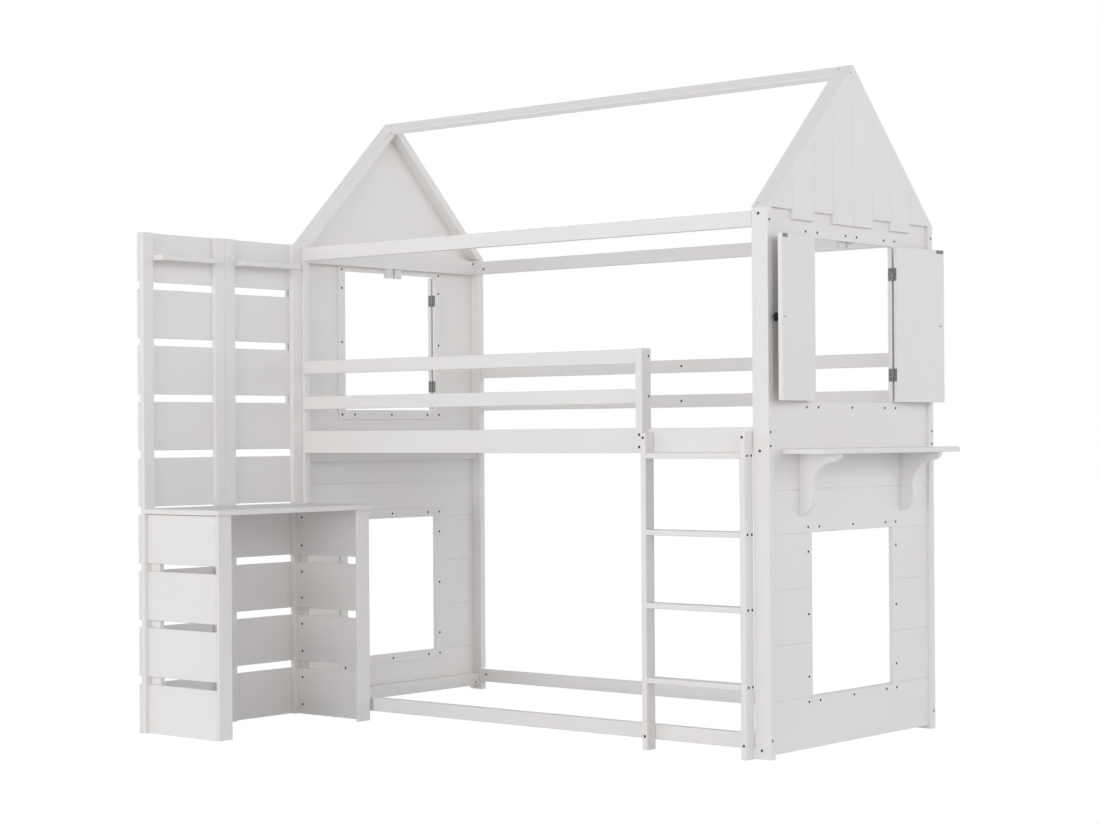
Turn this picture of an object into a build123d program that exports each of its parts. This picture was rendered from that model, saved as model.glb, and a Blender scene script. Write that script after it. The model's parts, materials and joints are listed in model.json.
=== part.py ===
# House-shaped loft bed: a raised bunk over a floor bunk, a desk with a slatted wall at the
# front left, a shelf on the right end, and a pair of shutters at each upper window.
# Millimetres. X runs along the bed, Y from the ladder side to the back, Z up from the floor.
# The origin is on the floor, under the middle of the whole object.
import os
from math import cos, radians, sin, tan

from build123d import *

os.makedirs("parts", exist_ok=True)

# Overall frame
bed_length = 2060.0
bed_width = 968.0
post_height = 1670.0
post_wide = 59.0  # along the bed
post_thick = 27.0
roof_pitch = 45.0  # degrees
edge_ease = 1.5
hairline = 0.2  # left between boards that butt in one layer

# Rails along the bed
rail_thick = 22.0
eave_high, eave_below_top = 48.0, 10.0  # below the tops of the posts
side_high, side_bottom = 78.0, 926.0
bottom_high, bottom_bottom = 47.0, 30.0
guard_thick, guard_high = 18.0, 46.0
guard_bottoms = (1082.0, 1208.0)

# Rails across the ends
end_rail_set_in = 20.0  # from the outer faces of the posts
end_rail_thick = 27.0
header_high, header_below_top = 54.0, 8.0
middle_high, middle_bottom = 78.0, 895.0
sole_high, sole_bottom = 46.0, 17.0

# Mattress support of the upper bunk
cleat_wide, cleat_high = 20.0, 24.0
slat_count, slat_wide, slat_thick = 13, 70.0, 15.0
slat_play = 2.0

# End panels and gables
panel_set_in = 11.0
panel_thick = 9.0
panel_seam = 947.0
panel_foot = 12.0
lower_window_wide, lower_window_bottom, lower_window_top = 475.0, 172.0, 678.0
upper_window_wide, upper_window_bottom = 486.0, 1082.0
upper_window_below_header = 17.0
plank_joints = (170.0, 339.0, 508.0, 677.0, 812.0)
groove_wide, groove_deep = 5.0, 2.0
gable_seams = (117.0, 225.0, 345.0)  # from the middle of the end
gable_drop = 29.0  # by which every other gable plank hangs below the post tops
trim_wide, trim_thick = 34.0, 6.0

# Roof
rafter_thick = 27.0
ridge_wide, ridge_thick = 46.0, 20.0

# Shutters, hinges, knobs and catches
shutter_thick = 15.0
shutter_play = 2.5  # above and below
shutter_meeting_gap = 2.0
shutter_open = 171.0  # degrees from closed, as the bed stands here
hinge_stand_off = 3.2  # from a shutter's outer face to the hinge axis
knuckle_radius, pin_radius, pin_play = 2.7, 1.5, 0.05
leaf_thick, leaf_deep, leaf_gap = 1.0, 13.0, 0.3
hinge_high, hinge_from_window = 42.0, 90.5  # from its middle to the window's lower or upper edge
knuckle_play = 0.3
pin_rise, pin_end_play = 16.0, 1.0
knob_from_edge, knob_radius, knob_high, knob_sides = 19.0, 13.5, 22.0, 24
knob_neck_radius, knob_neck_high, knob_ease = 5.5, 11.0, 4.0
strike_wide, strike_high, strike_thick = 34.0, 11.0, 1.0
strike_from_edge, strike_from_top = 5.0, 1.0
catch_deep, catch_drop, catch_gap = 14.0, 17.0, 0.5

# Shelf on the right end
shelf_deep, shelf_long, shelf_thick, shelf_bottom = 156.0, 808.0, 17.0, 922.0
shelf_edge = 7.0
bracket_thick, bracket_spacing = 18.0, 592.0
bracket_deep, bracket_high = 147.0, 191.0
# Points along a bracket's scroll, as shares of its depth out and of its height down
scroll_lip, scroll_sweep = (1.0, 0.05), ((0.88, 0.13), (0.47, 0.27), (0.31, 0.58))
scroll_nose, scroll_foot = (0.26, 0.87), (0.0, 1.0)

# Ladder and guard post
ladder_deep, ladder_rail_thick, ladder_high = 44.0, 20.0, 990.0
ladder_clear_width = 356.0
tread_thick = 18.0
tread_middles = (218.0, 451.0, 679.0, 918.0)
guard_post_wide, guard_post_deep, guard_post_top = 25.0, 46.0, 1255.0
guard_post_lap = 27.0  # its depth in front of the side rail
guard_post_to_ladder = 5.0

# Slatted wall and desk
wall_wide = 365.0  # of each of its two panels
wall_set_in = 18.0  # from the left end to the back of the wall
wall_board_thick, wall_board_high = 12.0, 163.0
wall_board_count = 9
stile_wide, stile_thick = 46.0, 19.0
ledge_deep, ledge_thick, ledge_below_top = 63.0, 18.0, 74.0
desk_deep, desk_thick, desk_under = 361.0, 18.0, 731.0
desk_edge = 8.0
desk_front_overhang, desk_side_overhang = 14.0, 15.0
side_board_thick = 12.0
end_board_wide, end_board_thick = 59.0, 11.0
desk_cleat_wide, desk_cleat_thick = 46.0, 18.0
spacer_long, spacer_from_wall = 54.0, 212.0

# Bolts through posts, ladder and guard post, and the thinner ones of the roof
bolt_sides = 12  # flats that stand for the round of a bolt and of its hole
bolt_radius, bolt_hole_radius = 4.2, 4.6
bolt_recess = 2.0
bolt_bite, bolt_short_bite = 35.0, 16.0
roof_bolt_radius, roof_hole_radius = 3.0, 3.4
roof_bolt_bite = 28.0
roof_bolt_set_in = 44.0
foot_bolt_share = 0.42  # of the way along a rafter's foot
ridge_bolt_share = 0.6  # of the way down the ridge board's width
eave_bolt_up, side_bolt_ups, bottom_bolt_up = 19.0, (21.0, 63.0), 28.0
header_bolt_up, middle_bolt_up, sole_bolt_up = 43.0, 37.0, 10.0
ladder_bolt_up, ladder_foot_bolt_up = 48.0, 13.0
guard_bolt_ups = (19.0, 58.0)

# Derived places
eave_bottom = post_height - eave_below_top - eave_high
header_bottom = post_height - header_below_top - header_high
upper_window_top = header_bottom - upper_window_below_header
hinge_middles = (upper_window_bottom + hinge_from_window, upper_window_top - hinge_from_window)
wall_board_pitch = (post_height - wall_board_high) / (wall_board_count - 1)
ledge_bottom = post_height - ledge_below_top - ledge_thick
window_stand_off = panel_set_in - hinge_stand_off  # hinge axis, inward from the post faces
open_lean = radians(180 - shutter_open)
shutter_start = leaf_gap / 2 + leaf_thick  # from the hinge axis
shutter_edge = upper_window_wide / 2 - shutter_start - shutter_meeting_gap / 2
strike_end = shutter_edge - strike_from_edge
strike_lift = hinge_stand_off + shutter_thick + strike_thick
strike_reach = strike_lift * cos(open_lean) + strike_end * sin(open_lean)
left_reach = strike_reach - window_stand_off
right_reach = shelf_deep - panel_set_in
wall_reach = 2 * wall_wide
left = (left_reach - right_reach - bed_length) / 2
right = left + bed_length
front = (wall_reach - bed_width) / 2
back = front + bed_width
middle = (front + back) / 2

outer_x = {"left": left, "right": right}
outer_y = {"front": front, "back": back}
inward_x = {"left": 1, "right": -1}
inward_y = {"front": 1, "back": -1}
corners = [(end, side) for end in outer_x for side in outer_y]

pitch = radians(roof_pitch)
apex = post_height + bed_width / 2 * tan(pitch)
rafter_drop = rafter_thick / cos(pitch)  # straight down through a rafter
rafter_foot = rafter_thick / sin(pitch)  # along its level foot
rafter_lap = rafter_foot / 2  # past the middle, where the front rafter meets the back slope
down_slope = (-cos(pitch), -sin(pitch))  # in Y and Z, along the front slope
into_slope = (sin(pitch), -cos(pitch))

shutter_bottom = upper_window_bottom + shutter_play
shutter_top = upper_window_top - shutter_play
rail_x = (left + post_wide, right - post_wide)
panel_y = (front + post_thick, back - post_thick)
ladder_right = right - post_wide
ladder_left = ladder_right - ladder_clear_width - 2 * ladder_rail_thick
guard_post_right = ladder_left - guard_post_to_ladder
guard_post_x = (guard_post_right - guard_post_wide, guard_post_right)
slat_bottom = side_bottom + cleat_high
wall_face = left + wall_set_in + wall_board_thick + stile_thick
desk_x = (wall_face, wall_face + desk_deep)
desk_board_x = (wall_face, desk_x[1] - desk_front_overhang - end_board_thick)


def at_end(end, near, far):
    """The X span between two distances inward from the outer faces of one end's posts."""
    return tuple(sorted(outer_x[end] + inward_x[end] * distance for distance in (near, far)))


def at_side(side, near, far):
    """The Y span between two distances inward from the front or the back of the bed."""
    return tuple(sorted(outer_y[side] + inward_y[side] * distance for distance in (near, far)))


def around(centre, width):
    return centre - width / 2, centre + width / 2


def bar(plane, across, up, along, ease=0.0, mode=Mode.ADD):
    """A rectangular bar: its spans across and up a plane, and along the plane's normal."""
    across, up, along = sorted(across), sorted(up), sorted(along)
    with BuildSketch(plane.offset(along[0])) as section:
        with Locations(((across[0] + across[1]) / 2, (up[0] + up[1]) / 2)):
            Rectangle(across[1] - across[0], up[1] - up[0])
        if ease:
            chamfer(section.vertices(), ease)
    extrude(section.sketch, amount=along[1] - along[0], mode=mode)


def board(x, y, z, ease=edge_ease, mode=Mode.ADD):
    """A board between two X, two Y and two Z planes, with the edges along its grain eased."""
    spans = [x, y, z]
    sizes = [high - low for low, high in spans]
    grain = sizes.index(max(sizes))
    plane = (Plane.YZ, Plane.ZX, Plane.XY)[grain]
    bar(plane, spans[(grain + 1) % 3], spans[(grain + 2) % 3], spans[grain], ease, mode)


def cut(x, y, z):
    """A square-edged hole through whatever lies between the planes."""
    board(x, y, z, ease=0, mode=Mode.SUBTRACT)


def slab(x, points):
    """A flat piece: an outline in Y and Z, between two X planes."""
    with BuildSketch(Plane.YZ.offset(x[0])) as outline:
        Polygon(*points, align=None)
    extrude(outline.sketch, amount=x[1] - x[0])


def v_groove(plane, face, depth, seam, along):
    """A V groove in the face at one level of a plane's first direction, across its second."""
    with BuildSketch(plane.offset(along[0])) as notch:
        low, high = around(seam, groove_wide)
        Polygon((face, low), (face, high), (face + depth, seam), align=None)
    extrude(notch.sketch, amount=along[1] - along[0], mode=Mode.SUBTRACT)


def rod(start, direction, length, radius, mode=Mode.ADD, sides=None):
    """A round bar, or the hole for one, from a point along a direction, or one with flat sides."""
    with BuildSketch(Plane(origin=start, z_dir=direction)) as section:
        if sides:
            RegularPolygon(radius, sides)
        else:
            Circle(radius)
    extrude(section.sketch, amount=length, mode=mode)


def bolts(places, radius, bite):
    """Bolts sunk a little below the face that they enter, through their grip and on into wood."""
    for start, direction, grip in places:
        head = Vector(*start) + Vector(*direction) * bolt_recess
        rod(head, direction, grip - bolt_recess + bite, radius, sides=bolt_sides)


def bolt_holes(places, radius):
    for start, direction, grip in places:
        rod(start, direction, grip, radius, Mode.SUBTRACT, bolt_sides)


def finish(piece, name):
    piece.part.label = name
    export_step(piece.part, f"parts/{name}.step")


# Bolt places: where each enters, which way it runs, and how thick the piece is that it clamps
def post_bolt_places(end, side):
    x_in, y_in = inward_x[end], inward_y[side]
    rail_middle = outer_y[side] + y_in * rail_thick / 2
    end_rail_middle = outer_x[end] + x_in * (end_rail_set_in + end_rail_thick / 2)
    side_bolts = [side_bottom + up for up in side_bolt_ups]
    for z in (bottom_bottom + bottom_bolt_up, *side_bolts, eave_bottom + eave_bolt_up):
        yield (outer_x[end], rail_middle, z), (x_in, 0, 0), post_wide
    end_bolts = (sole_bottom + sole_bolt_up, middle_bottom + middle_bolt_up, header_bottom + header_bolt_up)
    for z in end_bolts:
        yield (end_rail_middle, outer_y[side], z), (0, y_in, 0), post_thick


def foot_bolt_place(end, side):
    """Straight down through a rafter's foot into the top of the post."""
    x = outer_x[end] + inward_x[end] * roof_bolt_set_in
    set_in = rafter_foot * foot_bolt_share
    y = outer_y[side] + inward_y[side] * set_in
    return (x, y, post_height + set_in * tan(pitch)), (0, 0, -1), set_in * tan(pitch)


def apex_bolt_place(end):
    """Square through the front rafter into the end of the back one."""
    x = outer_x[end] + inward_x[end] * roof_bolt_set_in
    down = rafter_thick / 2
    start = (x, middle + down_slope[0] * down, apex + down_slope[1] * down)
    return start, (0, into_slope[0], into_slope[1]), rafter_thick


def ridge_bolt_place(end):
    """Along the bed through the front rafter into the end of the ridge board."""
    down, deep = ridge_wide * ridge_bolt_share, ridge_thick / 2
    y = middle + down_slope[0] * down + into_slope[0] * deep
    z = apex + down_slope[1] * down + into_slope[1] * deep
    return (outer_x[end], y, z), (inward_x[end], 0, 0), post_wide


def ladder_bolt_places(x):
    for z in (bottom_bottom + ladder_foot_bolt_up, side_bottom + ladder_bolt_up):
        yield (x, front - ladder_deep, z), (0, 1, 0), ladder_deep


def guard_lap_bolt_places():
    x = sum(guard_post_x) / 2
    for up in guard_bolt_ups:
        yield (x, front - guard_post_lap, side_bottom + up), (0, 1, 0), guard_post_lap


def guard_rail_bolt_places():
    for bottom in guard_bottoms:
        z = bottom + guard_high / 2
        yield (guard_post_x[1], front + guard_thick / 2, z), (-1, 0, 0), guard_post_wide


# Corner posts
for end, side in corners:
    with BuildPart() as post:
        board(at_end(end, 0, post_wide), at_side(side, 0, post_thick), (0, post_height))
        bolt_holes(post_bolt_places(end, side), bolt_hole_radius)
    finish(post, f"post_{side}_{end}")

# Rails along the bed, between the posts
for side in outer_y:
    rail_y = at_side(side, 0, rail_thick)
    for name, bottom, high in (
        ("eave", eave_bottom, eave_high),
        ("side", side_bottom, side_high),
        ("bottom", bottom_bottom, bottom_high),
    ):
        with BuildPart() as rail:
            board(rail_x, rail_y, (bottom, bottom + high))
        finish(rail, f"{name}_rail_{side}")

# Guard rails of the upper bunk: the front pair stops at the guard post
for side, rail_end in (("front", guard_post_x[0]), ("back", rail_x[1])):
    with BuildPart() as guard_rails:
        for bottom in guard_bottoms:
            board((rail_x[0], rail_end), at_side(side, 0, guard_thick), (bottom, bottom + guard_high))
    finish(guard_rails, f"guard_rails_{side}")

# Guard post, lapped over the front of the side rail and standing on its top edge
with BuildPart() as guard_post:
    post_front = front - guard_post_lap
    slab(
        guard_post_x,
        [
            (post_front, side_bottom),
            (front, side_bottom),
            (front, side_bottom + side_high),
            (post_front + guard_post_deep, side_bottom + side_high),
            (post_front + guard_post_deep, guard_post_top),
            (post_front, guard_post_top),
        ],
    )
    chamfer(guard_post.faces().sort_by(Axis.Z)[-1].edges(), edge_ease)
    bolt_holes(guard_lap_bolt_places(), bolt_hole_radius)
    bolt_holes(guard_rail_bolt_places(), bolt_hole_radius)
finish(guard_post, "guard_post")

# Ends: rails, panels with their windows, and the trims round the windows inside
for end in outer_x:
    end_rail_x = at_end(end, end_rail_set_in, end_rail_set_in + end_rail_thick)
    with BuildPart() as end_rails:
        for bottom, high in (
            (sole_bottom, sole_high),
            (middle_bottom, middle_high),
            (header_bottom, header_high),
        ):
            board(end_rail_x, panel_y, (bottom, bottom + high))
    finish(end_rails, f"end_rails_{end}")

    panel_x = at_end(end, panel_set_in, panel_set_in + panel_thick)
    upper_window_y = around(middle, upper_window_wide)
    lower_window_y = around(middle, lower_window_wide)
    with BuildPart() as upper_panel:
        board(panel_x, panel_y, (panel_seam, post_height), ease=0)
        cut(panel_x, upper_window_y, (upper_window_bottom, upper_window_top))
    finish(upper_panel, f"upper_panel_{end}")

    with BuildPart() as lower_panel:
        board(panel_x, panel_y, (panel_foot, panel_seam), ease=0)
        cut(panel_x, lower_window_y, (lower_window_bottom, lower_window_top))
        across_the_end = Plane.XZ.offset(-panel_y[1])
        groove_run = (0, panel_y[1] - panel_y[0])
        for joint in plank_joints:
            v_groove(across_the_end, panel_x[0], groove_deep, joint, groove_run)
            v_groove(across_the_end, panel_x[1], -groove_deep, joint, groove_run)
    finish(lower_panel, f"lower_panel_{end}")

    trim_x = at_end(end, panel_set_in + panel_thick, panel_set_in + panel_thick + trim_thick)
    with BuildPart() as trims:
        for window_y, bottom, top, head in (
            (upper_window_y, upper_window_bottom, upper_window_top, header_bottom),
            (lower_window_y, lower_window_bottom, lower_window_top, lower_window_top + trim_wide),
        ):
            for low in (window_y[0] - trim_wide, window_y[1]):
                board(trim_x, (low, low + trim_wide), (bottom - trim_wide, head), ease=0)
            between = (window_y[0] + hairline, window_y[1] - hairline)
            board(trim_x, between, (bottom - trim_wide, bottom), ease=0)
            board(trim_x, between, (top, head), ease=0)
    finish(trims, f"window_trims_{end}")

# Gables: two halves at each end, cut into planks of two lengths by V grooves
for end, side in corners:
    y_in = inward_y[side]
    gable_x = at_end(end, 0, panel_set_in)
    seams = [middle - y_in * seam for seam in gable_seams]
    high, low = post_height, post_height - gable_drop
    with BuildPart() as gable:
        outline = [(outer_y[side] + y_in * rafter_foot, high)]
        for seam, (before, after) in zip(reversed(seams), ((high, low), (low, high), (high, low))):
            outline += [(seam, before), (seam, after)]
        outline += [(middle, low), (middle, apex - rafter_drop)]
        slab(gable_x, outline)
        face = outer_x[end]
        for seam in (middle, *seams):
            v_groove(Plane.XY, face, inward_x[end] * groove_deep, seam, (low, apex))
    finish(gable, f"gable_{side}_{end}")

# Rafters: the front one runs to the apex and the back one butts under it
for end in outer_x:
    rafter_x = at_end(end, 0, post_wide)
    lap = (middle + rafter_lap, apex - rafter_lap * tan(pitch))
    with BuildPart() as front_rafter:
        foot_end = (front + rafter_foot, post_height)
        slab(rafter_x, [(front, post_height), (middle, apex), lap, foot_end])
        bolted = [foot_bolt_place(end, "front"), apex_bolt_place(end), ridge_bolt_place(end)]
        bolt_holes(bolted, roof_hole_radius)
    finish(front_rafter, f"rafter_front_{end}")

    with BuildPart() as back_rafter:
        foot_end, underside = (back - rafter_foot, post_height), (middle, apex - rafter_drop)
        slab(rafter_x, [lap, (back, post_height), foot_end, underside])
        bolt_holes([foot_bolt_place(end, "back")], roof_hole_radius)
    finish(back_rafter, f"rafter_back_{end}")

# Ridge board, lying in the front slope with its upper edge at the apex
with BuildPart() as ridge:
    slope_plane = Plane(origin=(rail_x[0], middle, apex), x_dir=(0, *down_slope), z_dir=(1, 0, 0))
    bar(slope_plane, (0, ridge_wide), (0, ridge_thick), (0, rail_x[1] - rail_x[0]), edge_ease)
finish(ridge, "ridge_board")


def leaf_plane(end, side, angle):
    """The plane of a shutter at an opening angle: its origin on the hinge axis at the floor,
    X towards the shutter's free edge and Z up."""
    axis_x = outer_x[end] + inward_x[end] * window_stand_off
    axis_y = middle - inward_y[side] * upper_window_wide / 2 + inward_y[side] * (leaf_thick + leaf_gap / 2)
    swing = radians(angle)
    free = (-inward_x[end] * sin(swing), inward_y[side] * cos(swing), 0)
    return Plane(origin=(axis_x, axis_y, 0), x_dir=free, z_dir=(0, 0, 1))


def outward(end, side):
    """1 where the leaf plane's Y points out of the bed when the shutter is closed, else -1."""
    return inward_x[end] * inward_y[side]


def hinge_leaf(plane, out, hand, z, knuckle_z):
    """A hinge leaf on one side of the axis, with the tongue that joins it to its knuckle."""
    across = (hand * leaf_gap / 2, hand * (leaf_gap / 2 + leaf_thick))
    bar(plane, across, (-out * hinge_stand_off, -out * (hinge_stand_off + leaf_deep)), z)
    bar(plane, across, (0, -out * hinge_stand_off), knuckle_z)
    rod(plane.origin + Vector(0, 0, knuckle_z[0]), (0, 0, 1), knuckle_z[1] - knuckle_z[0], knuckle_radius)


# Shutters, each with its knob and with the steel that it carries: two hinge leaves and a strike
for end, side in corners:
    opened = leaf_plane(end, side, shutter_open)
    out = outward(end, side)
    outer_face, inner_face = -out * hinge_stand_off, -out * (hinge_stand_off + shutter_thick)
    with BuildPart() as shutter:
        shutter_x, shutter_z = (shutter_start, shutter_edge), (shutter_bottom, shutter_top)
        bar(opened, shutter_x, (outer_face, inner_face), shutter_z, edge_ease)
    finish(shutter, f"shutter_{side}_{end}")

    face_way = opened.y_dir * out
    knob_seat = opened.from_local_coords(
        (shutter_edge - knob_from_edge, outer_face, (shutter_bottom + shutter_top) / 2)
    )
    with BuildPart() as knob:
        rod(knob_seat, face_way, knob_neck_high, knob_neck_radius, sides=knob_sides)
        head_seat = knob_seat + face_way * knob_neck_high
        rod(head_seat, face_way, knob_high - knob_neck_high, knob_radius, sides=knob_sides)
        chamfer(knob.faces().sort_by(Axis(knob_seat, face_way))[-1].edges(), knob_ease)
    finish(knob, f"knob_{side}_{end}")

    with BuildPart() as fittings:
        for hinge_middle in hinge_middles:
            hinge_z = around(hinge_middle, hinge_high)
            knuckle_z = (hinge_middle + knuckle_play / 2, hinge_z[1])
            hinge_leaf(opened, out, 1, hinge_z, knuckle_z)
            bore_start = opened.origin + Vector(0, 0, knuckle_z[0])
            bore_deep = pin_rise + pin_end_play
            rod(bore_start, (0, 0, 1), bore_deep, pin_radius + pin_play, Mode.SUBTRACT)
        strike_x = (strike_end - strike_wide, strike_end)
        strike_top = shutter_top - strike_from_top
        strike_z = (strike_top - strike_high, strike_top)
        bar(opened, strike_x, (inner_face, inner_face - out * strike_thick), strike_z)
    finish(fittings, f"shutter_fittings_{side}_{end}")

# The hinge leaves that stay on the window jambs, with the pins that the shutters turn on
for end in outer_x:
    with BuildPart() as fixed_leaves:
        for side in outer_y:
            closed, out = leaf_plane(end, side, 0), outward(end, side)
            for hinge_middle in hinge_middles:
                hinge_z = around(hinge_middle, hinge_high)
                knuckle_z = (hinge_z[0], hinge_middle - knuckle_play / 2)
                hinge_leaf(closed, out, -1, hinge_z, knuckle_z)
                pin_start = closed.origin + Vector(0, 0, knuckle_z[1])
                rod(pin_start, (0, 0, 1), pin_rise, pin_radius)
    finish(fixed_leaves, f"hinge_leaves_{end}")

# Magnetic catches under the headers, one for each shutter's strike
with BuildPart() as catches:
    for end, side in corners:
        seat = outer_x[end] + inward_x[end] * (panel_set_in + panel_thick + trim_thick)
        face = seat + inward_x[end] * (strike_thick + catch_gap)
        rear = face + inward_x[end] * catch_deep
        near = middle - inward_y[side] * (shutter_meeting_gap / 2 + strike_from_edge)
        catch_y = sorted((near, near - inward_y[side] * strike_wide))
        with BuildSketch(Plane.XZ.offset(-catch_y[1])) as catch_profile:
            Polygon(
                (rear, header_bottom),
                (seat, header_bottom),
                (seat, upper_window_top),
                (face, upper_window_top),
                (face, upper_window_top - catch_drop),
                (rear, upper_window_top - catch_drop),
                align=None,
            )
        extrude(catch_profile.sketch, amount=strike_wide)
finish(catches, "magnetic_catches")

# Shelf outside the right end, its three free top edges rounded over
shelf_x = (right - panel_set_in, right - panel_set_in + shelf_deep)
with BuildPart() as shelf:
    board(shelf_x, around(middle, shelf_long), (shelf_bottom, shelf_bottom + shelf_thick), ease=0)
    top = shelf.faces().sort_by(Axis.Z)[-1]
    fillet(top.edges().sort_by(Axis.X)[1:], shelf_edge)
finish(shelf, "shelf")


def scroll_point(share):
    """A point of a bracket's outline, from shares of its depth out and of its height down."""
    return shelf_x[0] + bracket_deep * share[0], shelf_bottom - bracket_high * share[1]


# Scrolled brackets under the shelf
with BuildPart() as brackets:
    for y in (middle - bracket_spacing / 2, middle + bracket_spacing / 2):
        with BuildSketch(Plane.XZ.offset(-(y + bracket_thick / 2))) as scroll:
            with BuildLine():
                sweep = [scroll_point(share) for share in scroll_sweep]
                foot, lip = scroll_point(scroll_foot), scroll_point(scroll_lip)
                Polyline(foot, scroll_point((0, 0)), scroll_point((1, 0)), lip, sweep[0])
                ThreePointArc(*sweep)
                ThreePointArc(sweep[-1], scroll_point(scroll_nose), foot)
            make_face()
        extrude(scroll.sketch, amount=bracket_thick)
finish(brackets, "shelf_brackets")

# Ladder
ladder_y = (front - ladder_deep, front)
ladder_rail_spans = (
    (ladder_left, ladder_left + ladder_rail_thick),
    (ladder_right - ladder_rail_thick, ladder_right),
)
with BuildPart() as ladder_rails:
    for span in ladder_rail_spans:
        board(span, ladder_y, (0, ladder_high))
        bolt_holes(ladder_bolt_places(sum(span) / 2), bolt_hole_radius)
finish(ladder_rails, "ladder_rails")

with BuildPart() as treads:
    for tread_middle in tread_middles:
        tread_x = (ladder_rail_spans[0][1], ladder_rail_spans[1][0])
        board(tread_x, ladder_y, around(tread_middle, tread_thick))
finish(treads, "ladder_treads")

# Slats of the upper bunk on cleats along the side rails
with BuildPart() as cleats:
    for side in outer_y:
        board(rail_x, at_side(side, rail_thick, rail_thick + cleat_wide), (side_bottom, slat_bottom), ease=0)
finish(cleats, "slat_cleats")

with BuildPart() as slats:
    slat_y = (front + rail_thick + slat_play, back - rail_thick - slat_play)
    slat_pitch = (rail_x[1] - rail_x[0] - slat_wide) / (slat_count - 1)
    for number in range(slat_count):
        slat_x = rail_x[0] + number * slat_pitch
        board((slat_x, slat_x + slat_wide), slat_y, (slat_bottom, slat_bottom + slat_thick), ease=0)
finish(slats, "bed_slats")

# Slatted wall in front of the left end: two framed panels side by side
wall_back = left + wall_set_in
wall_front = wall_back + wall_board_thick
panel_starts = (front - 2 * wall_wide, front - wall_wide)
with BuildPart() as wall_boards:
    for start in panel_starts:
        for number in range(wall_board_count):
            z = number * wall_board_pitch
            bay = (start + hairline, start + wall_wide - hairline)
            board((wall_back, wall_front), bay, (z, z + wall_board_high))
finish(wall_boards, "wall_boards")

with BuildPart() as stiles:
    for start in panel_starts:
        for y in (start + hairline, start + wall_wide - hairline - stile_wide):
            board((wall_front, wall_face), (y, y + stile_wide), (0, post_height))
finish(stiles, "wall_stiles")

with BuildPart() as ledges:
    for start in panel_starts:
        bay = (start + hairline + stile_wide, start + wall_wide - hairline - stile_wide)
        board((wall_front, wall_front + ledge_deep), bay, (ledge_bottom, ledge_bottom + ledge_thick))
finish(ledges, "wall_ledges")

# Desk: a top on two slatted sides that share the wall's board spacing
desk_y = (front - 2 * wall_wide, front)
with BuildPart() as desktop:
    board(desk_x, desk_y, (desk_under, desk_under + desk_thick), ease=0)
    top = desktop.faces().sort_by(Axis.Z)[-1]
    fillet(top.edges().filter_by(Axis.Y).sort_by(Axis.X)[-1], desk_edge)
    fillet(desktop.faces().sort_by(Axis.Z)[-1].edges().sort_by(Axis.Y)[0], desk_edge)
finish(desktop, "desktop")

outer_side_y = (desk_y[0] + desk_side_overhang, desk_y[0] + desk_side_overhang + side_board_thick)
inner_side_y = (front - desk_cleat_thick - side_board_thick, front - desk_cleat_thick)
with BuildPart() as side_boards:
    for side_y in (outer_side_y, inner_side_y):
        z = 0
        while z < desk_under:
            board(desk_board_x, side_y, (z, min(z + wall_board_high, desk_under)))
            z += wall_board_pitch
finish(side_boards, "desk_side_boards")

with BuildPart() as desk_frame:
    end_board_x = (desk_board_x[1], desk_board_x[1] + end_board_thick)
    board(end_board_x, (outer_side_y[0], outer_side_y[0] + end_board_wide), (0, desk_under))
    board(end_board_x, (inner_side_y[1] - end_board_wide, inner_side_y[1]), (0, desk_under))
    cleat_x = (wall_face, wall_face + desk_cleat_wide)
    board(cleat_x, (outer_side_y[1], outer_side_y[1] + desk_cleat_thick), (0, desk_under))
    board(cleat_x, (inner_side_y[1], front), (0, desk_under))
    spacer_x = (wall_face + spacer_from_wall, wall_face + spacer_from_wall + spacer_long)
    board(spacer_x, inner_side_y, (wall_board_high, wall_board_pitch), ease=0)
finish(desk_frame, "desk_frame")

# Bolts
with BuildPart() as post_bolts:
    for end, side in corners:
        for place in post_bolt_places(end, side):
            bolts([place], bolt_radius, bolt_bite)
finish(post_bolts, "post_bolts")

with BuildPart() as ladder_bolts:
    for span in ladder_rail_spans:
        bolts(ladder_bolt_places(sum(span) / 2), bolt_radius, bolt_short_bite)
    bolts(guard_lap_bolt_places(), bolt_radius, bolt_short_bite)
    bolts(guard_rail_bolt_places(), bolt_radius, bolt_bite)
finish(ladder_bolts, "ladder_and_guard_bolts")

with BuildPart() as roof_bolts:
    for end in outer_x:
        bolts([apex_bolt_place(end), ridge_bolt_place(end)], roof_bolt_radius, roof_bolt_bite)
        for side in outer_y:
            bolts([foot_bolt_place(end, side)], roof_bolt_radius, roof_bolt_bite)
finish(roof_bolts, "roof_bolts")
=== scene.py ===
import json
from math import cos, pi, radians, sin

import bpy
from mathutils import Matrix, Vector


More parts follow.
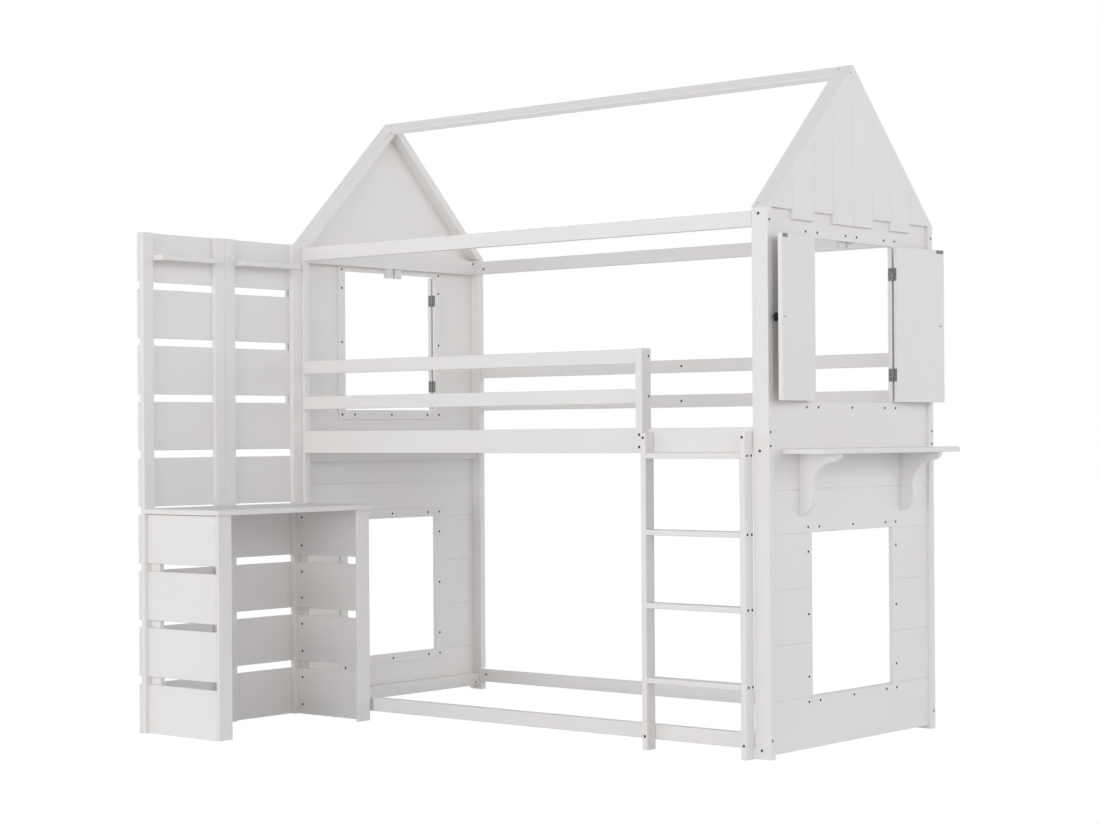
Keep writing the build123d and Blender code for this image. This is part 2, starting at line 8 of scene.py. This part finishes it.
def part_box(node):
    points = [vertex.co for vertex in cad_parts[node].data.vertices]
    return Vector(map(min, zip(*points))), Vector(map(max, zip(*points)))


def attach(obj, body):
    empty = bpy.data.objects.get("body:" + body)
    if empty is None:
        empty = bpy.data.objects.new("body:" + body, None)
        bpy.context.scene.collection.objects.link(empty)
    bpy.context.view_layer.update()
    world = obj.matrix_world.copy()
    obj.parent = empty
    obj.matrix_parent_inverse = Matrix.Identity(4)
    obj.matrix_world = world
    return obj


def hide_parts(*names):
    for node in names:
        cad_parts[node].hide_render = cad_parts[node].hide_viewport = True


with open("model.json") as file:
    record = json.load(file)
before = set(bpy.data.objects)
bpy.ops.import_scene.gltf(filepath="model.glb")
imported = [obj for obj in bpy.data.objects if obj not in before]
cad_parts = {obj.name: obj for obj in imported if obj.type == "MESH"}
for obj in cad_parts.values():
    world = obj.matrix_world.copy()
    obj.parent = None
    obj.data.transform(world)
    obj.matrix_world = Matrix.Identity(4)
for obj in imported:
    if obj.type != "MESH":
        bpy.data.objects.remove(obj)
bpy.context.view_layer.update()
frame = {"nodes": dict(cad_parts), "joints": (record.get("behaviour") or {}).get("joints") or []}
scene = bpy.context.scene

MM = 0.001
ENDS, SIDES = ("left", "right"), ("front", "back")
OUTWARD_X, INWARD_Y = {"left": -1, "right": 1}, {"front": 1, "back": -1}
LEFT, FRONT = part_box("post_front_left")[0].x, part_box("post_front_left")[0].y
RIGHT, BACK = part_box("post_back_right")[1].x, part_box("post_back_right")[1].y
MIDDLE = (FRONT + BACK) / 2
OUTER_X, OUTER_Y = {"left": LEFT, "right": RIGHT}, {"front": FRONT, "back": BACK}


# Materials
class Nodes:
    """A small helper that adds and links shader nodes."""

    def __init__(self, name):
        self.material = bpy.data.materials.new(name)
        self.material.use_nodes = True
        self.tree = self.material.node_tree
        self.shader = self.tree.nodes["Principled BSDF"]

    def add(self, kind, settings=None, **inputs):
        node = self.tree.nodes.new(kind)
        for name, value in (settings or {}).items():
            setattr(node, name, value)
        for name, value in inputs.items():
            socket = node.inputs[name.replace("_", " ")]
            if isinstance(value, bpy.types.NodeSocket):
                self.tree.links.new(value, socket)
            else:
                socket.default_value = value
        return node

    def link(self, value, socket):
        self.tree.links.new(value, self.shader.inputs[socket])

    def blend(self, factor, one, two):
        """A colour between two others."""
        node = self.add("ShaderNodeMix", {"data_type": "RGBA"})
        self.tree.links.new(factor, node.inputs["Factor"])
        for socket, colour in zip([s for s in node.inputs if s.type == "RGBA"], (one, two)):
            if isinstance(colour, bpy.types.NodeSocket):
                self.tree.links.new(colour, socket)
            else:
                socket.default_value = (*colour, 1)
        return [s for s in node.outputs if s.type == "RGBA"][0]

    def noise(self, scale, detail=2.0, stretch=None, roughness=0.5):
        """Noise that keeps to the object, drawn out along an axis where stretch says."""
        place = self.add("ShaderNodeTexCoord").outputs["Object"]
        if stretch:
            place = self.add("ShaderNodeMapping", Vector=place, Scale=stretch).outputs["Vector"]
        return self.add(
            "ShaderNodeTexNoise", Vector=place, Scale=scale, Detail=detail, Roughness=roughness
        ).outputs["Fac"]

    def ramp(self, value, low, high, out_low, out_high):
        return self.add(
            "ShaderNodeMapRange",
            {"clamp": True},
            Value=value,
            From_Min=low,
            From_Max=high,
            To_Min=out_low,
            To_Max=out_high,
        ).outputs["Result"]

    def bump(self, height, distance, strength, under=None):
        node = self.add("ShaderNodeBump", Height=height, Distance=distance, Strength=strength)
        if under:
            self.tree.links.new(under, node.inputs["Normal"])
        return node.outputs["Normal"]


PAINT, PAINT_DEEP, PAINT_WARM = (0.833, 0.821, 0.82), (0.798, 0.785, 0.782), (0.828, 0.81, 0.797)
ALONG = {"x": (5, 95, 95), "y": (95, 5, 95), "z": (95, 95, 5)}
DRAWN_ALONG_Z = (40, 40, 900)


def painted_wood(name, grain):
    """Satin white paint over planed wood: grain that just shows, roller texture and rounded edges."""
    n = Nodes(name)
    streaks = n.noise(1.0, 5.0, ALONG[grain], 0.6)
    clouds = n.noise(2.3, 3.0)
    peel = n.noise(850.0, 2.0)
    tone = n.blend(n.ramp(clouds, 0.35, 0.65, 0, 1), PAINT, PAINT_WARM)
    tone = n.blend(n.ramp(streaks, 0.5, 0.8, 0, 0.35), tone, PAINT_DEEP)
    n.link(tone, "Base Color")
    n.link(n.ramp(n.noise(60.0, 3.0), 0.3, 0.7, 0.36, 0.48), "Roughness")
    rounded = n.add("ShaderNodeBevel", {"samples": 4}, Radius=0.0012).outputs["Normal"]
    grain_bump = n.bump(streaks, 0.0003, 0.22, rounded)
    n.link(n.bump(peel, 0.00006, 0.3, grain_bump), "Normal")
    n.shader.inputs["IOR"].default_value = 1.47
    return n.material


def metal(name, colour, worn, roughness, metallic=1.0, shine=0.5):
    """Metal or dark plating with a fine drawn texture and patches that are a little worn."""
    n = Nodes(name)
    patches = n.noise(180.0, 3.0)
    drawn = n.noise(1.0, 2.0, DRAWN_ALONG_Z)
    n.link(n.blend(n.ramp(patches, 0.4, 0.7, 0, 1), colour, worn), "Base Color")
    n.link(n.ramp(drawn, 0.3, 0.7, roughness - 0.06, roughness + 0.08), "Roughness")
    n.link(n.bump(drawn, 0.00005, 0.3), "Normal")
    n.shader.inputs["Metallic"].default_value = metallic
    n.shader.inputs["Specular IOR Level"].default_value = shine
    return n.material


def plastic(name, colour, deep):
    """Moulded plastic with a fine texture."""
    n = Nodes(name)
    n.link(n.blend(n.ramp(n.noise(35.0, 2.0), 0.35, 0.65, 0, 1), colour, deep), "Base Color")
    n.link(n.bump(n.noise(1600.0, 2.0), 0.00003, 0.3), "Normal")
    n.shader.inputs["Roughness"].default_value = 0.42
    return n.material


paints = {grain: painted_wood(f"white_paint_{grain}", grain) for grain in "xyz"}
steel = metal("plated_steel", (0.27, 0.265, 0.255), (0.16, 0.157, 0.152), 0.34)
screw_metal = metal("dark_screws", (0.012, 0.012, 0.011), (0.04, 0.039, 0.038), 0.5, 0.0, 0.2)
knob_metal = metal("black_knobs", (0.006, 0.006, 0.006), (0.014, 0.014, 0.014), 0.42, 0.0, 0.3)
white_plastic = plastic("white_plastic", (0.78, 0.78, 0.77), (0.72, 0.72, 0.71))

# The grain runs along each board, so painted nodes take the paint of their direction
GRAIN = {
    "x": "eave_rail side_rail bottom_rail guard_rails ridge_board ladder_treads desk_side_boards slat_cleats",
    "y": "desktop shelf bed_slats end_rails upper_panel lower_panel wall_boards wall_ledges",
    "z": "post guard_post gable rafter shutter ladder_rails wall_stiles desk_frame window_trims shelf_brackets",
}
METALS = {
    "shutter_fittings": steel,
    "hinge_leaves": steel,
    "knob": knob_metal,
    "post_bolts": screw_metal,
    "ladder_and_guard_bolts": screw_metal,
    "roof_bolts": screw_metal,
    "magnetic_catches": white_plastic,
}


def finish_of(node):
    """The material of a node, by the start of its name."""
    for start, material in METALS.items():
        if node == start or node.startswith(start + "_"):
            return material
    for grain, starts in GRAIN.items():
        if any(node == start or node.startswith(start + "_") for start in starts.split()):
            return paints[grain]
    raise ValueError(node)


for name, node in frame["nodes"].items():
    node.data.materials.clear()
    node.data.materials.append(finish_of(name))


# Small pieces that repeat: each is drawn once, then stamped wherever it belongs
HEAD_POINTS, KNOB_POINTS, FLOOR_POINTS = 24, 40, 48


def ring(radius, height, count=HEAD_POINTS, turn=0.5):
    """Points around the Z axis, turned by a share of the step between two."""
    return [
        (radius * cos(2 * pi * (k + turn) / count), radius * sin(2 * pi * (k + turn) / count), height)
        for k in range(count)
    ]


def lathe(rings):
    """Points and faces of rings of one count, joined one to the next, with the last one filled."""
    count = len(rings[0])
    points = [p for points_of_ring in rings for p in points_of_ring]
    faces = []
    for level in range(len(rings) - 1):
        for k in range(count):
            a, b = level * count + k, level * count + (k + 1) % count
            faces.append((a, b, b + count, a + count))
    faces.append(tuple(range(len(points) - count, len(points))))
    return points, faces


def cross(radius, half_width, arm, height):
    """A ring whose points are drawn in to a cross's outline where they lie between its arms."""
    points = []
    for x, y, _ in ring(radius, height):
        scale, narrow = arm / max(abs(x), abs(y)), min(abs(x), abs(y))
        if narrow > half_width:
            scale = min(scale, half_width / narrow)
        points.append((x * scale, y * scale, height))
    return points


def hexagon(across_flats, height):
    """A ring whose points are drawn in to a hexagon."""
    points = []
    for k in range(HEAD_POINTS):
        angle = 2 * pi * (k + 0.5) / HEAD_POINTS
        reach = across_flats / 2 / cos((angle + pi / 6) % (pi / 3) - pi / 6)
        points.append((reach * cos(angle), reach * sin(angle), height))
    return points


def screw(radius, height):
    """A low round screw head with a cross recess."""
    return lathe(
        [
            ring(radius, 0),
            ring(radius * 0.95, height * 0.55),
            ring(radius * 0.78, height),
            cross(radius, radius * 0.16, radius * 0.55, height),
            cross(radius, radius * 0.12, radius * 0.45, height * 0.12),
        ]
    )


def socket_bolt(radius, height):
    """A round bolt head with a hexagon socket."""
    return lathe(
        [
            ring(radius, 0),
            ring(radius, height * 0.7),
            ring(radius * 0.9, height),
            hexagon(radius * 1.15, height),
            hexagon(radius * 1.1, height * 0.15),
        ]
    )


def slotted_disc(radius, height):
    """The end of a barrel nut, with its slot."""
    half_slot = 0.13 * radius
    slot = [(x * 0.75, max(-half_slot, min(half_slot, y)), height) for x, y, _ in ring(radius, 0)]
    slot_floor = [(x * 0.97, y * 0.9, height * 0.2) for x, y, _ in slot]
    return lathe([ring(radius, 0), ring(radius * 0.95, height), slot, slot_floor])


def facing(point, normal, turn=0.0):
    """The place of a small piece on a surface: its Z out of it."""
    aim = Vector(normal).to_track_quat("Z", "Y").to_matrix().to_4x4()
    return Matrix.Translation(point) @ aim @ Matrix.Rotation(turn, 4, "Z")


def turn_of(number):
    """An uneven turn for one of many screws, the same on every run."""
    return (number * 2.399963) % (pi / 2)


def add_to(places, point, normal):
    """One more place in a list, turned by its number in it."""
    places.append(facing(Vector(point), normal, turn_of(len(places))))


def stamp(name, template, places, material, body="frame"):
    """One mesh of a template repeated at every place."""
    points, faces = template
    all_points, all_faces = [], []
    for place in places:
        start = len(all_points)
        all_points += [place @ Vector(p) for p in points]
        all_faces += [tuple(start + k for k in face) for face in faces]
    mesh = bpy.data.meshes.new(name)
    mesh.from_pydata(all_points, [], all_faces)
    mesh.materials.append(material)
    mesh.update()
    piece = bpy.data.objects.new(name, mesh)
    scene.collection.objects.link(piece)
    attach(piece, body)
    return piece


# Screws of the window trims, on both faces of each end: distances from the window's middle, then heights
CORNER_IN, LOWER_OUT, UPPER_OUT, CATCH_OUT = 195, 257, 260, 32
LOWER_ROWS, LOWER_STEPS = (155, 695), (233, 426, 619)
UPPER_ROW, UPPER_STEP = 1065, 1330
HEADER_ROW, HEADER_INNER_STEPS = 1608.5, (1528, 1597)

trim_spots = [(y, z) for z in LOWER_ROWS for y in (-LOWER_OUT, -CORNER_IN, 0, CORNER_IN, LOWER_OUT)]
trim_spots += [(y, z) for y in (-LOWER_OUT, LOWER_OUT) for z in LOWER_STEPS]
trim_spots += [(y, UPPER_ROW) for y in (-UPPER_OUT, -CORNER_IN, 0, CORNER_IN, UPPER_OUT)]
trim_spots += [(y, UPPER_STEP) for y in (-UPPER_OUT, UPPER_OUT)]

screw_places = []
for end in ENDS:
    trims_low, trims_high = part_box(f"window_trims_{end}")
    panel_low, panel_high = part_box(f"upper_panel_{end}")
    outside = panel_low.x if end == "left" else panel_high.x
    inside = trims_high.x if end == "left" else trims_low.x
    outward, inward = (OUTWARD_X[end], 0, 0), (-OUTWARD_X[end], 0, 0)
    for y, z in trim_spots:
        for x, way in ((outside, outward), (inside, inward)):
            add_to(screw_places, (x, MIDDLE + y * MM, z * MM), way)
    for y in (-UPPER_OUT, -CORNER_IN, -CATCH_OUT, CATCH_OUT, CORNER_IN, UPPER_OUT):
        add_to(screw_places, (outside, MIDDLE + y * MM, HEADER_ROW * MM), outward)
    for y in (-UPPER_OUT, UPPER_OUT):
        for z in HEADER_INNER_STEPS:
            add_to(screw_places, (inside, MIDDLE + y * MM, z * MM), inward)

# Two screws at each end of each tread, through the ladder's rails
TREAD_SCREW_HEIGHTS = (218, 451, 679, 918)
TREAD_SCREWS_BEFORE_BED = (30, 8)
rails_low, rails_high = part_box("ladder_rails")
for z in TREAD_SCREW_HEIGHTS:
    for before in TREAD_SCREWS_BEFORE_BED:
        add_to(screw_places, (rails_high.x, FRONT - before * MM, z * MM), (1, 0, 0))
        add_to(screw_places, (rails_low.x, FRONT - before * MM, z * MM), (-1, 0, 0))

# Desk: the boards on the bed's side to the cleat by the wall, and the spacer between two of them
DESK_SCREW_HEIGHTS = (34, 130, 223, 319, 412, 505, 598, 698)
CLEAT_SCREWS_IN, SPACER_SCREW_IN, SPACER_SCREW_HEIGHT = 23, 239, 175.5
desk_left, desk_boards_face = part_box("desk_side_boards")[0].x, FRONT - 30 * MM
for z in DESK_SCREW_HEIGHTS:
    add_to(screw_places, (desk_left + CLEAT_SCREWS_IN * MM, desk_boards_face, z * MM), (0, -1, 0))
spacer_screw = (desk_left + SPACER_SCREW_IN * MM, desk_boards_face, SPACER_SCREW_HEIGHT * MM)
add_to(screw_places, spacer_screw, (0, -1, 0))

# Guard rails at the back, fixed from inside halfway along
GUARD_HEIGHTS = (1105, 1231)
for z in GUARD_HEIGHTS:
    add_to(screw_places, (LEFT + 1028 * MM, FRONT + 950 * MM, z * MM), (0, -1, 0))
stamp("screws", screw(4.2 * MM, 0.7 * MM), screw_places, screw_metal)

# Sockets in the heads of the bolts, just inside their holes
RAIL_THICK, SUNK = 22, 2
ALONG_BOLT_HEIGHTS, ACROSS_BOLT_HEIGHTS, ACROSS_BOLT_IN = (58, 947, 989, 1631), (27, 932, 1651), 33.5
LADDER_BOLT_HEIGHTS, LADDER_BOLT_IN, LADDER_BOLT_BEFORE_BED = (43, 974), 10, 42
GUARD_POST_BOLT_HEIGHTS, GUARD_BOLT_BACK = (945, 984), 9
bolt_places = []
for end in ENDS:
    outward = OUTWARD_X[end]
    for side in SIDES:
        rail_middle = OUTER_Y[side] + INWARD_Y[side] * RAIL_THICK / 2 * MM
        for z in ALONG_BOLT_HEIGHTS:
            head = (OUTER_X[end] - outward * SUNK * MM, rail_middle, z * MM)
            add_to(bolt_places, head, (outward, 0, 0))
        for z in ACROSS_BOLT_HEIGHTS:
            head_y = OUTER_Y[side] + INWARD_Y[side] * SUNK * MM
            head = (OUTER_X[end] - outward * ACROSS_BOLT_IN * MM, head_y, z * MM)
            add_to(bolt_places, head, (0, -INWARD_Y[side], 0))
for x in (rails_low.x + LADDER_BOLT_IN * MM, rails_high.x - LADDER_BOLT_IN * MM):
    for z in LADDER_BOLT_HEIGHTS:
        add_to(bolt_places, (x, FRONT - LADDER_BOLT_BEFORE_BED * MM, z * MM), (0, -1, 0))
guard_low, guard_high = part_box("guard_post")
for z in GUARD_POST_BOLT_HEIGHTS:
    head = ((guard_low.x + guard_high.x) / 2, guard_low.y + SUNK * MM, z * MM)
    add_to(bolt_places, head, (0, -1, 0))
for z in GUARD_HEIGHTS:
    add_to(bolt_places, (guard_high.x - SUNK * MM, FRONT + GUARD_BOLT_BACK * MM, z * MM), (1, 0, 0))
stamp("bolt_sockets", socket_bolt(4 * MM, 0.8 * MM), bolt_places, screw_metal)

# Ends of the barrel nuts, on the hidden faces of the rails along and across the bed
NUT_INTO_RAIL, POST_WIDE, END_RAIL_FACE_IN, END_RAIL_START_IN = 20, 59, 47, 27
nut_places = []
for end in ENDS:
    for side in SIDES:
        rail_x = OUTER_X[end] - OUTWARD_X[end] * (POST_WIDE + NUT_INTO_RAIL) * MM
        rail_y = OUTER_Y[side] + INWARD_Y[side] * RAIL_THICK * MM
        for z in (ALONG_BOLT_HEIGHTS[0], ALONG_BOLT_HEIGHTS[-1]):
            nut_places.append(facing(Vector((rail_x, rail_y, z * MM)), (0, INWARD_Y[side], 0)))
        end_rail_x = OUTER_X[end] - OUTWARD_X[end] * END_RAIL_FACE_IN * MM
        end_rail_y = OUTER_Y[side] + INWARD_Y[side] * (END_RAIL_START_IN + NUT_INTO_RAIL) * MM
        for z in ACROSS_BOLT_HEIGHTS:
            nut_places.append(facing(Vector((end_rail_x, end_rail_y, z * MM)), (-OUTWARD_X[end], 0, 0)))
stamp("barrel_nuts", slotted_disc(5 * MM, 0.5 * MM), nut_places, steel)


# Shutters: turned knobs, their screws, and the screws of the hinge leaves
def swung(end, side, swing):
    """The way to a shutter's free edge and the way out of its outer face, at a swing in degrees."""
    angle = radians(swing)
    free = Vector((OUTWARD_X[end] * sin(angle), INWARD_Y[side] * cos(angle), 0))
    out = Vector((OUTWARD_X[end] * cos(angle), -INWARD_Y[side] * sin(angle), 0))
    return free, out


REST_SWING = 171
KNOB_OUTLINE = [(5.6, 0.0), (4.9, 3.0), (4.7, 7.0), (6.0, 10.0), (10.5, 11.6), (13.0, 13.2), (13.6, 15.5)]
KNOB_OUTLINE += [(13.2, 17.8), (11.4, 20.0), (8.0, 21.4), (4.0, 21.9), (0.8, 22.0)]
KNOB_FROM_AXIS, KNOB_HEIGHT = 221.85, 1336.5
OUTER_FACE_IN, INNER_FACE_IN = 3.2, 18.2
LEAF_HALF_HIGH, LEAF_FROM_AXIS = 21, 0.15
LEAF_SCREWS = ((-13, 7), (0, 12), (13, 7))

turned_knob = lathe([ring(r * MM, h * MM, KNOB_POINTS, 0) for r, h in KNOB_OUTLINE])
knob_screw, leaf_screw = screw(3 * MM, 0.5 * MM), screw(2 * MM, 0.1 * MM)
leaves_low, leaves_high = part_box("hinge_leaves_right")
hinge_heights = (leaves_low.z + LEAF_HALF_HIGH * MM, leaves_high.z - LEAF_HALF_HIGH * MM)
axes = {joint["child"]: Vector(joint["pos_m"]) for joint in frame["joints"]}


def add_leaf_screws(places, axis, along, out):
    """Three screws in each leaf that stands along a way from the axis."""
    for height in hinge_heights:
        for step, depth in LEAF_SCREWS:
            spot = axis + along * LEAF_FROM_AXIS * MM - out * depth * MM
            spot.z = height + step * MM
            add_to(places, spot, -along)


jamb_places = []
for end in ENDS:
    for side in SIDES:
        body = f"shutter_{side}_{end}"
        free, out = swung(end, side, REST_SWING)
        knob_line = axes[body] + free * KNOB_FROM_AXIS * MM
        knob_line.z = KNOB_HEIGHT * MM
        seat = facing(knob_line - out * OUTER_FACE_IN * MM, out)
        knob = stamp(f"knob_turned_{side}_{end}", turned_knob, [seat], knob_metal, body)
        knob.data.shade_smooth()
        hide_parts(f"knob_{side}_{end}")
        seat = facing(knob_line - out * INNER_FACE_IN * MM, -out, 0.4)
        stamp(f"knob_screw_{side}_{end}", knob_screw, [seat], screw_metal, body)
        leaf_places = []
        add_leaf_screws(leaf_places, axes[body], free, out)
        stamp(f"leaf_screws_{side}_{end}", leaf_screw, leaf_places, screw_metal, body)
        closed_free, closed_out = swung(end, side, 0)
        add_leaf_screws(jamb_places, axes[body], -closed_free, closed_out)
stamp("jamb_leaf_screws", leaf_screw, jamb_places, screw_metal)


# Camera at the photograph's place, with its framing
YAW, PITCH, ROLL = 2.2671, 0.0046, -0.0066
CAMERA_FROM_CORNER = Vector((5.97973, -5.71559, 0.981995))
look = Vector((cos(PITCH) * cos(YAW), cos(PITCH) * sin(YAW), sin(PITCH)))
across = Vector((sin(YAW), -cos(YAW), 0))
over = across.cross(look)
right = across * cos(ROLL) + over * sin(ROLL)
up = over * cos(ROLL) - across * sin(ROLL)
camera_data = bpy.data.cameras.new("camera")
camera_data.sensor_fit = "HORIZONTAL"
camera_data.sensor_width = 36
camera_data.lens = 74.98
camera_data.shift_y = 0.0121
camera_data.clip_end = 100
camera = bpy.data.objects.new("camera", camera_data)
place = Vector((LEFT, FRONT, 0)) + CAMERA_FROM_CORNER
camera.matrix_world = Matrix.Translation(place) @ Matrix((right, up, -look)).transposed().to_4x4()
scene.collection.objects.link(camera)
scene.camera = camera

# Studio: a white floor that keeps a soft shadow, and light that comes mostly from the sides
LAMP_AIM = Vector((0, 0, 1))
LAMPS = {
    "key_light": ((1.5, -12, 1.2), (6, 1.6), 260.6),
    "end_light": ((12, 3.5, 5.4), (4, 2.4), 92.4),
}
SKY_HEIGHTS, SKY_LEVELS, SKY_TOP_LEVEL = (0, 0.25, 0.6), (1.84, 1.49, 0.29), 4
FLOOR_RADIUS = 40
FLOOR_AS_LIT, FLOOR_AS_SEEN = (0.8, 0.03), (0.16, 0.93)

for name, (where, size, energy) in LAMPS.items():
    light = bpy.data.lights.new(name, "AREA")
    light.shape, light.size, light.size_y, light.energy = "RECTANGLE", size[0], size[1], energy
    lamp = bpy.data.objects.new(name, light)
    lamp.location = where
    lamp.rotation_euler = (LAMP_AIM - Vector(where)).to_track_quat("-Z", "Y").to_euler()
    scene.collection.objects.link(lamp)


def shown(tree):
    """One for rays from the camera and off shiny surfaces, and nought for light that has scattered."""
    path = tree.nodes.new("ShaderNodeLightPath")
    total = path.outputs["Is Camera Ray"]
    for kind in ("Is Glossy Ray", "Is Transmission Ray"):
        either = tree.nodes.new("ShaderNodeMath")
        either.operation = "MAXIMUM"
        tree.links.new(total, either.inputs[0])
        tree.links.new(path.outputs[kind], either.inputs[1])
        total = either.outputs[0]
    return total


world = bpy.data.worlds.new("studio")
scene.world = world
world.use_nodes = True
tree = world.node_tree
tree.nodes.clear()
output = tree.nodes.new("ShaderNodeOutputWorld")
background = tree.nodes.new("ShaderNodeBackground")
coordinates = tree.nodes.new("ShaderNodeTexCoord")
split = tree.nodes.new("ShaderNodeSeparateXYZ")
ramp = tree.nodes.new("ShaderNodeValToRGB")
level_up = tree.nodes.new("ShaderNodeMath")
strength = tree.nodes.new("ShaderNodeMix")
stops = ramp.color_ramp.elements
stops.new(SKY_HEIGHTS[1])
stops[2].position = SKY_HEIGHTS[2]
for stop, level in zip(stops, SKY_LEVELS):
    share = level / SKY_TOP_LEVEL
    stop.color = (share, share, share, 1)
level_up.operation = "MULTIPLY"
level_up.inputs[1].default_value = SKY_TOP_LEVEL
background.inputs["Color"].default_value = (1, 1, 1, 1)
strength.inputs[3].default_value = 1.0
tree.links.new(coordinates.outputs["Generated"], split.inputs[0])
tree.links.new(split.outputs["Z"], ramp.inputs["Fac"])
tree.links.new(ramp.outputs["Color"], level_up.inputs[0])
tree.links.new(shown(tree), strength.inputs["Factor"])
tree.links.new(level_up.outputs[0], strength.inputs[2])
tree.links.new(strength.outputs[0], background.inputs["Strength"])
tree.links.new(background.outputs[0], output.inputs["Surface"])

floor_finish = bpy.data.materials.new("white_floor")
floor_finish.use_nodes = True
tree = floor_finish.node_tree
tree.nodes.clear()
output = tree.nodes.new("ShaderNodeOutputMaterial")
choose = tree.nodes.new("ShaderNodeMixShader")
for number, (whiteness, emission) in enumerate((FLOOR_AS_LIT, FLOOR_AS_SEEN), start=1):
    matte = tree.nodes.new("ShaderNodeBsdfDiffuse")
    matte.inputs["Color"].default_value = (whiteness, whiteness, whiteness, 1)
    glow = tree.nodes.new("ShaderNodeEmission")
    glow.inputs["Strength"].default_value = emission
    both = tree.nodes.new("ShaderNodeAddShader")
    tree.links.new(matte.outputs[0], both.inputs[0])
    tree.links.new(glow.outputs[0], both.inputs[1])
    tree.links.new(both.outputs[0], choose.inputs[number])
tree.links.new(shown(tree), choose.inputs[0])
tree.links.new(choose.outputs[0], output.inputs["Surface"])

floor_points = ring(FLOOR_RADIUS, 0, FLOOR_POINTS, 0)
floor_mesh = bpy.data.meshes.new("floor")
floor_mesh.from_pydata(floor_points, [], [tuple(range(FLOOR_POINTS))])
floor_mesh.materials.append(floor_finish)
floor = bpy.data.objects.new("floor", floor_mesh)
scene.collection.objects.link(floor)

scene.view_settings.view_transform = "Standard"
